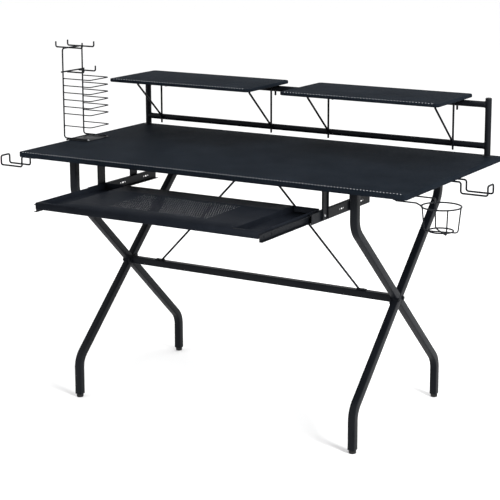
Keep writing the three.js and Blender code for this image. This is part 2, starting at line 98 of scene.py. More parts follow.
def makeLamp(name, place, size, power):
    lamp = bpy.data.lights.new(name, "AREA")
    lamp.shape = "DISK"
    lamp.size = size
    lamp.energy = power
    piece = bpy.data.objects.new(name, lamp)
    bpy.context.scene.collection.objects.link(piece)
    piece.location = Vector(place)
    aim = Vector(studio["aim"]) - piece.location
    piece.rotation_euler = aim.to_track_quat("-Z", "Y").to_euler()


for lampValues in studio["lamps"]:
    makeLamp(*lampValues)
world = bpy.data.worlds.new("studio")
world.use_nodes = True
backdrop = world.node_tree.nodes["Background"]
backdrop.inputs["Color"].default_value = (*studio["worldColour"], 1)
backdrop.inputs["Strength"].default_value = studio["worldStrength"]
bpy.context.scene.world = world
bpy.context.scene.view_settings.view_transform = "Standard"
print("camera and lights ready")


# ---- finishes
def newFinish(name):
    finish = bpy.data.materials.new(name)
    finish.use_nodes = True
    tree = finish.node_tree
    shader = tree.nodes["Principled BSDF"]
    place = tree.nodes.new("ShaderNodeTexCoord")
    return finish, tree, shader, place


def addNoise(tree, place, scale, detail=3.0, roughness=0.5, stretch=(1, 1, 1)):
    turn = tree.nodes.new("ShaderNodeMapping")
    turn.inputs["Scale"].default_value = stretch
    noise = tree.nodes.new("ShaderNodeTexNoise")
    noise.inputs["Scale"].default_value = scale
    noise.inputs["Detail"].default_value = detail
    noise.inputs["Roughness"].default_value = roughness
    tree.links.new(place.outputs["Object"], turn.inputs["Vector"])
    tree.links.new(turn.outputs["Vector"], noise.inputs["Vector"])
    return noise


def addCells(tree, place, scale, feature="F1"):
    cells = tree.nodes.new("ShaderNodeTexVoronoi")
    cells.feature = feature
    cells.inputs["Scale"].default_value = scale
    tree.links.new(place.outputs["Object"], cells.inputs["Vector"])
    return cells


def addRamp(tree, source, stops):
    ramp = tree.nodes.new("ShaderNodeValToRGB")
    marks = ramp.color_ramp.elements
    marks[0].position, marks[0].color = stops[0][0], (*stops[0][1], 1)
    marks[1].position, marks[1].color = stops[-1][0], (*stops[-1][1], 1)
    for position, colour in stops[1:-1]:
        mark = marks.new(position)
        mark.color = (*colour, 1)
    tree.links.new(source, ramp.inputs["Fac"])
    return ramp


def addRange(tree, source, low, high):
    spread = tree.nodes.new("ShaderNodeMapRange")
    spread.inputs["To Min"].default_value = low
    spread.inputs["To Max"].default_value = high
    tree.links.new(source, spread.inputs["Value"])
    return spread


def addBump(tree, shader, source, relief, under=None):
    strength, distance = relief
    bump = tree.nodes.new("ShaderNodeBump")
    bump.inputs["Strength"].default_value = strength
    bump.inputs["Distance"].default_value = distance
    tree.links.new(source, bump.inputs["Height"])
    if under is not None:
        tree.links.new(under.outputs["Normal"], bump.inputs["Normal"])
    tree.links.new(bump.outputs["Normal"], shader.inputs["Normal"])
    return bump


wrap = {
    "dark": (0.0056, 0.0078, 0.0112),
    "light": (0.0094, 0.0126, 0.0172),
    "grainScale": 620,
    "creaseScale": 210,
    "cloudScale": 9,
    "poreWidth": 0.35,
    "roughLow": 0.50,
    "roughHigh": 0.66,
    "poreRelief": (0.55, 0.00035),
    "creaseRelief": (0.35, 0.0005),
    "shine": 0.005,
}


def makeWrapFinish():
    finish, tree, shader, place = newFinish("boardWrap")
    clouds = addNoise(tree, place, wrap["cloudScale"], 5.0, 0.6)
    colours = addRamp(tree, clouds.outputs["Fac"], [(0.32, wrap["dark"]), (0.7, wrap["light"])])
    tree.links.new(colours.outputs["Color"], shader.inputs["Base Color"])
    grain = addCells(tree, place, wrap["grainScale"], "DISTANCE_TO_EDGE")
    pores = addRange(tree, grain.outputs["Distance"], 0.0, 1.0)
    pores.inputs["From Max"].default_value = wrap["poreWidth"]
    crease = addNoise(tree, place, wrap["creaseScale"], 4.0, 0.65)
    rough = addRange(tree, crease.outputs["Fac"], wrap["roughLow"], wrap["roughHigh"])
    tree.links.new(rough.outputs["Result"], shader.inputs["Roughness"])
    first = addBump(tree, shader, pores.outputs["Result"], wrap["poreRelief"])
    addBump(tree, shader, crease.outputs["Fac"], wrap["creaseRelief"], first)
    shader.inputs["Specular IOR Level"].default_value = wrap["shine"]
    return finish


coat = {
    "peelScale": 900,
    "speckleScale": 1260,
    "cloudScale": 14,
    "roughLow": 0.36,
    "roughHigh": 0.48,
    "peelRelief": (0.30, 0.0004),
    "speckleRelief": (0.12, 0.0003),
}
steelCoat = {
    "dark": (0.0034, 0.0042, 0.0058), "light": (0.0060, 0.0070, 0.0092), "lift": 0.0, "shine": 0.075,
}
sheetCoat = {
    "dark": (0.0050, 0.0062, 0.0090), "light": (0.0086, 0.0102, 0.0138), "lift": 0.06, "shine": 0.02,
}


def makeCoatFinish(name, shade):
    lift = shade["lift"]
    finish, tree, shader, place = newFinish(name)
    clouds = addNoise(tree, place, coat["cloudScale"], 4.0, 0.6)
    colours = addRamp(tree, clouds.outputs["Fac"], [(0.3, shade["dark"]), (0.72, shade["light"])])
    tree.links.new(colours.outputs["Color"], shader.inputs["Base Color"])
    peel = addNoise(tree, place, coat["peelScale"], 2.0, 0.5)
    speckle = addCells(tree, place, coat["speckleScale"])
    rough = addRange(tree, clouds.outputs["Fac"], coat["roughLow"] + lift, coat["roughHigh"] + lift)
    tree.links.new(rough.outputs["Result"], shader.inputs["Roughness"])
    first = addBump(tree, shader, peel.outputs["Fac"], coat["peelRelief"])
    addBump(tree, shader, speckle.outputs["Distance"], coat["speckleRelief"], first)
    shader.inputs["Specular IOR Level"].default_value = shade["shine"]
    return finish


moulding = {
    "dark": (0.0035, 0.0035, 0.0038),
    "light": (0.0065, 0.0065, 0.007),
    "cloudScale": 60,
    "grainScale": 1500,
    "roughLow": 0.5,
    "roughHigh": 0.68,
    "grainRelief": (0.25, 0.0003),
    "shine": 0.3,
}


def makeMouldedFinish():
    finish, tree, shader, place = newFinish("mouldedPlastic")
    clouds = addNoise(tree, place, moulding["cloudScale"], 3.0)
    colours = addRamp(tree, clouds.outputs["Fac"], [(0.3, moulding["dark"]), (0.7, moulding["light"])])
    tree.links.new(colours.outputs["Color"], shader.inputs["Base Color"])
    grain = addNoise(tree, place, moulding["grainScale"], 2.0)
    rough = addRange(tree, grain.outputs["Fac"], moulding["roughLow"], moulding["roughHigh"])
    tree.links.new(rough.outputs["Result"], shader.inputs["Roughness"])
    addBump(tree, shader, grain.outputs["Fac"], moulding["grainRelief"])
    shader.inputs["Specular IOR Level"].default_value = moulding["shine"]
    return finish


plating = {
    "dark": (0.34, 0.345, 0.36),
    "light": (0.56, 0.565, 0.58),
    "streakScale": 300,
    "streakStretch": (1, 1, 6),
    "roughLow": 0.28,
    "roughHigh": 0.45,
    "streakRelief": (0.15, 0.0002),
}


def makePlatedFinish():
    finish, tree, shader, place = newFinish("zincPlate")
    streaks = addNoise(tree, place, plating["streakScale"], 4.0, 0.6, plating["streakStretch"])
    colours = addRamp(tree, streaks.outputs["Fac"], [(0.3, plating["dark"]), (0.7, plating["light"])])
    tree.links.new(colours.outputs["Color"], shader.inputs["Base Color"])
    rough = addRange(tree, streaks.outputs["Fac"], plating["roughLow"], plating["roughHigh"])
    tree.links.new(rough.outputs["Result"], shader.inputs["Roughness"])
    addBump(tree, shader, streaks.outputs["Fac"], plating["streakRelief"])
    shader.inputs["Metallic"].default_value = 1.0
    return finish


thread = {
    "dark": (0.50, 0.51, 0.53),
    "light": (0.78, 0.79, 0.80),
    "twistScale": 1100,
    "roughLow": 0.7,
    "roughHigh": 0.9,
    "twistRelief": (0.4, 0.0003),
}


def makeThreadFinish():
    finish, tree, shader, place = newFinish("stitchThread")
    twist = addNoise(tree, place, thread["twistScale"], 2.0)
    colours = addRamp(tree, twist.outputs["Fac"], [(0.3, thread["dark"]), (0.7, thread["light"])])
    tree.links.new(colours.outputs["Color"], shader.inputs["Base Color"])
    rough = addRange(tree, twist.outputs["Fac"], thread["roughLow"], thread["roughHigh"])
    tree.links.new(rough.outputs["Result"], shader.inputs["Roughness"])
    addBump(tree, shader, twist.outputs["Fac"], thread["twistRelief"])
    return finish


def makeFloorFinish():
    finish, _, shader, _ = newFinish("paleFloor")
    shader.inputs["Base Color"].default_value = (*studio["floorColour"], 1)
    shader.inputs["Roughness"].default_value = studio["floorRough"]
    shader.inputs["Specular IOR Level"].default_value = studio["floorShine"]
    return finish


boardWrap = makeWrapFinish()
blackCoat = makeCoatFinish("blackPowderCoat", steelCoat)
trayCoat = makeCoatFinish("trayPowderCoat", sheetCoat)
mouldedPlastic = makeMouldedFinish()
zincPlate = makePlatedFinish()
stitchThread = makeThreadFinish()
print("finishes ready")


# ---- making pieces
def keepPiece(bm, name, finish, body, replaced=(), sharpAbove=40):
    bmesh.ops.remove_doubles(bm, verts=bm.verts, dist=mergeReach)
    bmesh.ops.recalc_face_normals(bm, faces=bm.faces)
    mesh = bpy.data.meshes.new(name)
    bm.to_mesh(mesh)
    bm.free()
    mesh.materials.append(finish)
    mesh.shade_smooth()
    mesh.set_sharp_from_angle(angle=math.radians(sharpAbove))
    piece = bpy.data.objects.new(name, mesh)
    bpy.context.scene.collection.objects.link(piece)
    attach(piece, body)
    if replaced:
        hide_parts(*replaced)
    return piece


def onlyVerts(geometry):
    return [g for g in geometry if isinstance(g, bmesh.types.BMVert)]


def onlyEdges(geometry):
    return [g for g in geometry if isinstance(g, bmesh.types.BMEdge)]


def soften(bm, geometry, offset, segments=2, affect="EDGES"):
    return bmesh.ops.bevel(
        bm, geom=geometry, offset=offset, segments=segments, profile=0.5, affect=affect, material=-1,
        offset_type="OFFSET", clamp_overlap=True,
    )


def pull(bm, edges, move):
    # extrudes an open line or ring of edges and returns its far side
    made = bmesh.ops.extrude_edge_only(bm, edges=edges)["geom"]
    verts = onlyVerts(made)
    bmesh.ops.translate(bm, vec=move, verts=verts)
    far = set(verts)
    return [e for e in onlyEdges(made) if e.verts[0] in far and e.verts[1] in far]


def ringFrame(start, ahead, side):
    ahead = ahead.normalized()
    if side is None:
        side = Vector((1, 0, 0)) if abs(ahead.x) < 0.9 else Vector((0, 1, 0))
    across = (side - ahead * side.dot(ahead)).normalized()
    up = ahead.cross(across)
    turn = Matrix((across, up, ahead)).transposed().to_4x4()
    return Matrix.Translation(start) @ turn


def roundRing(bm, radius, sides, place):
    made = bmesh.ops.create_circle(bm, cap_ends=False, segments=sides, radius=radius, matrix=place)
    return list({e for v in made["verts"] for e in v.link_edges})


def squareRing(bm, width, corner, place):
    made = bmesh.ops.create_grid(bm, x_segments=1, y_segments=1, size=width / 2, matrix=place)
    rounded = soften(bm, made["verts"], corner, 3, "VERTICES")
    face = next(f for v in rounded["verts"] for f in v.link_faces)
    edges = list(face.edges)
    bmesh.ops.delete(bm, geom=[face], context="FACES_ONLY")
    return edges


def capEnd(bm, ring, soft):
    faces = bmesh.ops.edgeloop_fill(bm, edges=ring)["faces"]
    if soft > 0:
        rim = list({e for f in faces for e in f.edges})
        soften(bm, rim, soft)


def sweepRod(bm, route, bend, makeRing, side=None, steps=8, soft=0.0):
    # straight runs are extruded and each corner is spun about the middle of its bend
    place = ringFrame(route[0], route[1] - route[0], side)
    ring = makeRing(bm, place)
    firstRing = list(ring)
    here = route[0].copy()
    for i in range(1, len(route)):
        arriving = (route[i] - route[i - 1]).normalized()
        if i == len(route) - 1:
            ring = pull(bm, ring, route[i] - here)
            break
        leaving = (route[i + 1] - route[i]).normalized()
        turn = arriving.angle(leaving)
        cutBack = bend * math.tan(turn / 2)
        start = route[i] - arriving * cutBack
        if (start - here).length > closeEnough:
            ring = pull(bm, ring, start - here)
        inward = (leaving - arriving).normalized()
        centre = route[i] + inward * (bend / math.cos(turn / 2))
        verts = list({v for e in ring for v in e.verts})
        made = bmesh.ops.spin(
            bm, geom=verts + ring, cent=centre, axis=arriving.cross(leaving).normalized(), dvec=(0, 0, 0),
            angle=turn, space=Matrix.Identity(4), steps=steps, use_merge=False, use_normal_flip=False,
            use_duplicate=False,
        )
        ring = onlyEdges(made["geom_last"])
        here = route[i] + leaving * cutBack
    capEnd(bm, firstRing, soft)
    capEnd(bm, ring, soft)


def roundSection(radius, sides=16):
    return lambda bm, place: roundRing(bm, radius * mm, sides, place)


def sweepWire(bm, route, bend, radius, steps=8, sides=14):
    sweepRod(bm, route, bend * mm, roundSection(radius, sides), steps=steps, soft=0.3 * radius * mm)


def addSphere(bm, centre, radius, stretch=(1, 1, 1), sides=10):
    grow = Matrix.Diagonal((*stretch, 1))
    bmesh.ops.create_uvsphere(
        bm, u_segments=sides, v_segments=max(4, sides // 2), radius=radius * mm,
        matrix=Matrix.Translation(centre) @ grow,
    )


def turned(bm, profile, centre, axis=(0, 0, 1), steps=32):
    # profile is (radius, height) pairs in mm, spun round the axis through the centre
    axis = Vector(axis).normalized()
    side = axis.orthogonal().normalized()
    verts = [bm.verts.new(centre + side * (r * mm) + axis * (h * mm)) for r, h in profile]
    edges = [bm.edges.new(pair) for pair in zip(verts, verts[1:])]
    bmesh.ops.spin(
        bm, geom=verts + edges, cent=centre, axis=axis, dvec=(0, 0, 0), angle=2 * math.pi,
        space=Matrix.Identity(4), steps=steps, use_merge=True, use_normal_flip=False, use_duplicate=False,
    )
    bmesh.ops.remove_doubles(bm, verts=bm.verts, dist=mergeReach)


def boxVerts(bm, low, high):
    verts = bmesh.ops.create_cube(bm, size=1.0)["verts"]
    bmesh.ops.scale(bm, vec=high - low, verts=verts)
    bmesh.ops.translate(bm, vec=(low + high) / 2, verts=verts)
    return verts


def boxBlock(bm, low, high, soft):
    verts = boxVerts(bm, low, high)
    edges = list({e for v in verts for e in v.link_edges})
    soften(bm, edges, soft * mm)


# ---- desktop and shelves
boardShape = {
    "deskCorner": 10,
    "shelfCorner": 12,
    "softEdge": 2.6,
    "stitchPitch": 9.0,
    "stitchLong": 1.6,
    "stitchThick": 0.8,
    "stitchInset": 1.7,
    "stitchDrop": 0.25,
    "stitchEnd": 2,
}


def riseOf(edge):
    return abs(edge.verts[0].co.z - edge.verts[1].co.z)


def makeBoard(name, node, corner, body):
    low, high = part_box(node)
    bm = bmesh.new()
    boxVerts(bm, low, high)
    upright = [e for e in bm.edges if riseOf(e) > closeEnough]
    soften(bm, upright, corner * mm, 8)
    level = [e for e in bm.edges if riseOf(e) < closeEnough]
    soften(bm, level, boardShape["softEdge"] * mm, 4)
    keepPiece(bm, name, boardWrap, body, [node], 35)


def makeStitches(name, node, corner, body):
    # running stitches over the rounded top of the front edge, each sunk a little at its ends
    low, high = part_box(node)
    shape = boardShape
    height = high.z - shape["stitchDrop"] * mm
    start = Vector((low.x + (corner + shape["stitchEnd"]) * mm, low.y + shape["stitchInset"] * mm, height))
    end = Vector((high.x - (corner + shape["stitchEnd"]) * mm, start.y, height))
    count = int((end - start).length / (shape["stitchPitch"] * mm))
    reach = shape["stitchLong"] / shape["stitchThick"]
    bm = bmesh.new()
    for i in range(count):
        middle = start.lerp(end, (i + 0.5) / count)
        addSphere(bm, middle, shape["stitchThick"], (reach, 1, 0.8), 6)
    keepPiece(bm, name, stitchThread, body, (), 80)


makeBoard("desktopBoard", "desktop", boardShape["deskCorner"], "frame")
makeStitches("desktopStitches", "desktop", boardShape["deskCorner"], "frame")
for side in ("left", "right"):
    shelfBody = "shelf_" + side
    makeBoard(shelfBody + "Board", shelfBody, boardShape["shelfCorner"], shelfBody)
    makeStitches(shelfBody + "Stitches", shelfBody, boardShape["shelfCorner"], shelfBody)
print("boards ready")


# ---- side frames
tube = {"wide": 20, "corner": 1.7, "bend": 60, "bendLow": 112.5, "bendHigh": 590.5, "mitreGap": 0.1}
crossWeld = {"radius": 0.9, "proud": 0.2, "sunk": 0.4, "past": 1}
foot = {"radius": 9.8, "height": 9.5, "round": 2.5, "stem": 8.0, "grooveDeep": 0.5}


def squareSection(bm, place):
    return squareRing(bm, tube["wide"] * mm, tube["corner"] * mm, place)


def legRoute(x, yLow, yHigh, zLow, zHigh):
    return [
        Vector((x, yLow, zLow)), Vector((x, yLow, tube["bendLow"] * mm)),
        Vector((x, yHigh, tube["bendHigh"] * mm)), Vector((x, yHigh, zHigh)),
    ]


def makeSideFrame(side):
    low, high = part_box(side + "_leg_long")
    half = tube["wide"] / 2 * mm
    x = (low.x + high.x) / 2
    yFront, yRear = low.y + half, high.y - half
    across = Vector((1, 0, 0))
    bm = bmesh.new()
    sweepRod(bm, legRoute(x, yFront, yRear, low.z, high.z), tube["bend"] * mm, squareSection, across, 16)
    keepPiece(bm, side + "LegLong", blackCoat, "frame", [side + "_leg_long"])
    # the other leg is two tubes, mitred where they meet the long one
    route = legRoute(x, yRear, yFront, low.z, high.z)
    middle = (route[1] + route[2]) / 2
    slope = (route[2] - route[1]).normalized()
    mirrored = Vector((slope.x, -slope.y, slope.z))
    facing = mirrored.cross(across).normalized()
    for part, ends in (("Lower", [route[0], route[1], middle]), ("Upper", [route[3], route[2], middle])):
        bm = bmesh.new()
        sweepRod(bm, ends, tube["bend"] * mm, squareSection, across, 16)
        outward = facing if (ends[0] - middle).dot(facing) > 0 else -facing
        plane = middle + outward * (half + tube["mitreGap"] * mm)
        cut = bmesh.ops.bisect_plane(
            bm, geom=bm.verts[:] + bm.edges[:] + bm.faces[:], plane_co=plane, plane_no=outward,
            clear_inner=True, clear_outer=False,
        )
        rim = onlyEdges(cut["geom_cut"])
        bmesh.ops.edgeloop_fill(bm, edges=rim)
        name = side + "Leg" + part
        keepPiece(bm, name, blackCoat, "frame", [side + "_leg_" + part.lower()])
    makeCrossWeld(side, middle, slope, mirrored, half)


def makeCrossWeld(side, middle, slope, mirrored, half):
    # a thin fillet bead along each edge where the short tubes meet the long one
    bm = bmesh.new()
    normal = mirrored.cross(Vector((1, 0, 0))).normalized()
    if normal.dot(slope) < 0:
        normal = -normal
    reach = mirrored * (half + crossWeld["past"] * mm)
    for face in (-1, 1):
        for end in (-1, 1):
            start = middle + Vector((face * (half - crossWeld["sunk"] * mm), 0, 0))
            line = start + normal * (end * (half + crossWeld["proud"] * mm))
            sweepWire(bm, [line - reach, line + reach], 1, crossWeld["radius"], 4, 10)
    keepPiece(bm, side + "CrossWelds", blackCoat, "frame")


def makeFoot(node):
    low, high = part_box(node)
    middle = (low + high) / 2
    base = Vector((middle.x, middle.y, low.z))
    r, h, soft = foot["radius"], foot["height"], foot["round"]
    inner, stem, stemTop = r - foot["grooveDeep"], foot["stem"], (high.z - low.z) / mm
    profile = [(0, 0), (r - soft, 0)]
    for i in range(1, 6):
        angle = math.pi / 2 * i / 5
        profile.append((r - soft + soft * math.sin(angle), soft - soft * math.cos(angle)))
    # a parting groove runs round just under the shoulder
    profile += [(r, h - 1.6), (inner, h - 1.4), (inner, h - 1.0), (r, h - 0.8), (r, h - 0.2), (r - 0.2, h)]
    profile += [(stem, h), (stem, stemTop), (0, stemTop)]
    name = node.replace("_", " ").title().replace(" ", "")
    bm = bmesh.new()
    turned(bm, profile, base, steps=40)
    keepPiece(bm, name, mouldedPlastic, "frame", [node], 50)


for side in ("left", "right"):
    makeSideFrame(side)
    for place in ("front", "rear"):
        makeFoot("foot_" + place + "_" + side)
print("side frames ready")


# ---- stretcher, bolts and braces
endPlate = {"thick": 3, "soft": 0.8, "weldRadius": 1.3, "weldReach": 0.8}
boltShape = {"headRadius": 5.5, "headHigh": 3.2, "socket": 2.3, "shank": 2.9}
brace = {
    "radius": 3, "tabThick": 2.5, "tabLong": 28, "tabSoft": 0.7, "footInset": 6, "headInset": 4, "sunk": 0.7,
    "weldRadius": 4.2, "screwInset": 7,
}


def makeStretcher():
    low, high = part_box("stretcher")
    middle = (low + high) / 2
    half = tube["wide"] / 2 * mm
    thick = endPlate["thick"] * mm
    bm = bmesh.new()
    ends = [Vector((low.x + thick, middle.y, middle.z)), Vector((high.x - thick, middle.y, middle.z))]
    sweepRod(bm, ends, 0, squareSection, Vector((0, 1, 0)))
    for x in (low.x, high.x - thick):
        plateLow, plateHigh = Vector((x, low.y, low.z)), Vector((x + thick, high.y, high.z))
        boxBlock(bm, plateLow, plateHigh, endPlate["soft"])
    # a weld bead along each of the four sides where the tube meets its plates
    for x in ends[0].x, ends[1].x:
        for y, z in ((0, 1), (0, -1), (1, 0), (-1, 0)):
            centre = Vector((x, middle.y + y * half, middle.z + z * half))
            reach = Vector((0, abs(z), abs(y))) * (half * endPlate["weldReach"])
            sweepWire(bm, [centre - reach, centre + reach], 1, endPlate["weldRadius"], 4, 10)
    keepPiece(bm, "stretcherBar", blackCoat, "frame", ["stretcher"])


def makeBolt(node, name, axis, finish):
    # heights run down from the top of the head, which has a socket in it
    low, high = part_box(node)
    axis = Vector(axis)
    span = abs((high - low).dot(axis)) / mm
    base = (low + high) / 2 + axis * (span / 2 * mm)
    shank, socket = boltShape["shank"], boltShape["socket"]
    r, headHigh = boltShape["headRadius"], boltShape["headHigh"]
    profile = [
        (0, -span), (shank - 0.4, -span), (shank, -span + 0.5), (shank, -headHigh), (r - 0.3, -headHigh),
        (r, -headHigh + 0.4), (r, -1.3), (r - 0.6, -0.45), (r - 1.8, 0), (socket + 0.2, 0), (socket, -0.2),
        (socket, -2.0), (0, -2.4),
    ]
    bm = bmesh.new()
    turned(bm, profile, base, axis, 36)
    keepPiece(bm, name, finish, "frame", [node], 35)


def makeBrace(side, sign):
    low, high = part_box("brace_" + side)
    thick, tabLong = brace["tabThick"] * mm, brace["tabLong"] * mm
    sunk = thick * brace["sunk"]
    outer = high.x if sign > 0 else low.x
    inner = low.x if sign > 0 else high.x
    middleY = (low.y + high.y) / 2
    bm = bmesh.new()
    footX = sorted((outer, outer - sign * tabLong))
    headX = sorted((inner, inner + sign * tabLong))
    footLow, footHigh = Vector((footX[0], low.y, low.z)), Vector((footX[1], high.y, low.z + thick))
    headLow, headHigh = Vector((headX[0], low.y, high.z - thick)), Vector((headX[1], high.y, high.z))
    boxBlock(bm, footLow, footHigh, brace["tabSoft"])
    boxBlock(bm, headLow, headHigh, brace["tabSoft"])
    start = Vector((outer - sign * (tabLong - brace["footInset"] * mm), middleY, low.z + sunk))
    end = Vector((inner + sign * brace["headInset"] * mm, middleY, high.z - sunk))
    sweepWire(bm, [start, end], 1, brace["radius"], 4, 20)
    for spot in (start, end):
        addSphere(bm, spot, brace["weldRadius"], (1.25, 1, 0.45), 14)
    screw = Vector((outer - sign * brace["screwInset"] * mm, middleY, low.z + thick))
    turned(bm, [(0, 1.8), (2.6, 1.6), (3.9, 0.7), (4.1, 0), (0, 0)], screw, (0, 0, 1), 24)
    keepPiece(bm, side + "Brace", blackCoat, "frame", ["brace_" + side])


makeStretcher()
for side, sign in (("left", -1), ("right", 1)):
    for place in ("front", "rear"):
        makeBolt(f"frame_bolt_{place}_{side}", f"{side}{place.title()}Bolt", (sign, 0, 0), blackCoat)
    makeBolt(f"post_bolt_{side}", f"{side}PostBolt", (0, 0, -1), zincPlate)
    makeBrace(side, sign)
print("stretcher and braces ready")


# ---- rear posts and rails
rail = {"radius": 9, "sides": 48, "slim": 0.2, "endGap": 2.0, "weldGap": 0.6}


def makePost(side):
    low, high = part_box("post_" + side)
    middle = (low + high) / 2
    bm = bmesh.new()
    route = [Vector((middle.x, middle.y, low.z)), Vector((middle.x, middle.y, high.z))]
    sweepRod(bm, route, 0, roundSection(rail["radius"], rail["sides"]))
    keepPiece(bm, side + "Post", blackCoat, "frame", ["post_" + side])
    top = Vector((middle.x, middle.y, high.z))
    r = rail["radius"]
    bm = bmesh.new()
    turned(bm, [
        (0, 2.9), (r * 0.45, 2.8), (r * 0.75, 2.35), (r * 0.93, 1.5), (r, 0.6), (r, 0.25), (r - 1.4, 0.15),
        (r - 1.9, -11), (0, -11.5),
    ], top, (0, 0, 1), 40)
    keepPiece(bm, side + "PostCap", mouldedPlastic, "frame", ["post_cap_" + side], 50)
    ringLow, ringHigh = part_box("post_ring_" + side)
    base = Vector((middle.x, middle.y, ringLow.z))
    outer = (ringHigh.x - ringLow.x) / 2 / mm
    bm = bmesh.new()
    profile = [
        (r + 0.1, 0), (outer, 0), (outer, 0.7), (outer - 0.5, 1.4), (r + 2.2, 1.9), (r + 1.0, 2.6),
        (r + 0.5, 3.0), (r + 0.1, 3.0), (r + 0.1, 0),
    ]
    turned(bm, profile, base, (0, 0, 1), 40)
    keepPiece(bm, side + "PostRing", blackCoat, "frame", ["post_ring_" + side], 50)


def makeRail(name, node):
    low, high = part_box(node)
    middle = (low + high) / 2
    endGap = rail["endGap"] * mm
    r = rail["radius"]
    bead = [(r - 0.4, -1.4), (r + 0.7, -0.8), (r + 0.9, 0.2), (r - 0.3, 1.2), (r - 0.4, -1.4)]
    bm = bmesh.new()
    ends = [Vector((low.x + endGap, middle.y, middle.z)), Vector((high.x - endGap, middle.y, middle.z))]
    sweepRod(bm, ends, 0, roundSection(r - rail["slim"], rail["sides"]))
    for x, sign in ((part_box("post_left")[1].x, 1), (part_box("post_right")[0].x, -1)):
        spot = Vector((x + sign * rail["weldGap"] * mm, middle.y, middle.z))
        turned(bm, bead, spot, (1, 0, 0), 40)
    keepPiece(bm, name, blackCoat, "frame", [node])


for side in ("left", "right"):
    makePost(side)
makeRail("upperRail", "upper_rail")
makeRail("lowerRail", "lower_rail")


# ---- shelf brackets
bracket = {
    "radius": 3, "bend": 7, "diagonalLow": 738, "hookLow": 826, "rodLow": 717, "frontY": 134, "clear": 0.6,
    "flatShare": 0.924,
}


def makeBracket(side, letter):
    node = f"bracket_{side}_{letter}"
    low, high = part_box(node)
    # the box is drawn round a faceted wire, so it lies a little nearer the wire's middle than its radius
    flat = bracket["flatShare"] * bracket["radius"] * mm
    x = (low.x + high.x) / 2
    armZ = high.z - flat
    hookY = high.y - flat
    armY = deskMiddle.y + bracket["frontY"] * mm
    rodY = hookY - 2 * (rail["radius"] + bracket["radius"] + bracket["clear"]) * mm
    bm = bmesh.new()
    hooked = [
        Vector((x, hookY, bracket["hookLow"] * mm)), Vector((x, hookY, armZ)), Vector((x, armY, armZ)),
        Vector((x, rodY, bracket["diagonalLow"] * mm)),
    ]
    sweepWire(bm, hooked, bracket["bend"], bracket["radius"], 10, 18)
    rodTop = Vector((x, rodY, armZ))
    sweepWire(bm, [Vector((x, rodY, bracket["rodLow"] * mm)), rodTop], 1, bracket["radius"], 4, 18)
    addSphere(bm, hooked[3], 3.7, (0.95, 1.05, 1.25), 14)
    addSphere(bm, rodTop, 3.5, (0.95, 1.25, 1), 14)
    body = "shelf_" + side
    keepPiece(bm, f"{body}Bracket{letter.upper()}", blackCoat, body, [node])


for side in ("left", "right"):
    for letter in "ab":
        makeBracket(side, letter)
print("rear shelves ready")


# ---- keyboard tray
tray = {
    "sheet": 0.7,
    "deckHalf": 262,
    "channelDrop": 16,
    "bendSoft": 1.4,
    "holePitch": 6.4,
    "holeRadius": 1.95,
    "fieldHalf": 152,
    "fieldFront": 64,
    "fieldBack": 234,
    "lip": 9,
    "apronBelow": 0.1,
    "rim": 12,
    "rimLap": 1,
}


def holeCell(bm, pitch, radius, centre):
    # one cell of sheet with a round hole, its long sides split so that rows can be staggered
    place = Matrix.Translation(centre)
    outline = bmesh.ops.create_grid(bm, x_segments=2, y_segments=1, size=pitch / 2, matrix=place)
    faces = list({f for v in outline["verts"] for f in v.link_faces})
    border = [e for f in faces for e in f.edges if sum(o in faces for o in e.link_faces) == 1]
    seam = list({e for f in faces for e in f.edges} - set(border))
    bmesh.ops.delete(bm, geom=faces, context="FACES_ONLY")
    bmesh.ops.delete(bm, geom=seam, context="EDGES")
    circle = roundRing(bm, radius, 12, place @ Matrix.Rotation(math.pi / 12, 4, "Z"))
    bmesh.ops.bridge_loops(bm, edges=border + circle)


def thicken(piece):
    thick = piece.modifiers.new("sheet", "SOLIDIFY")
    thick.thickness = tray["sheet"] * mm
    thick.offset = 0


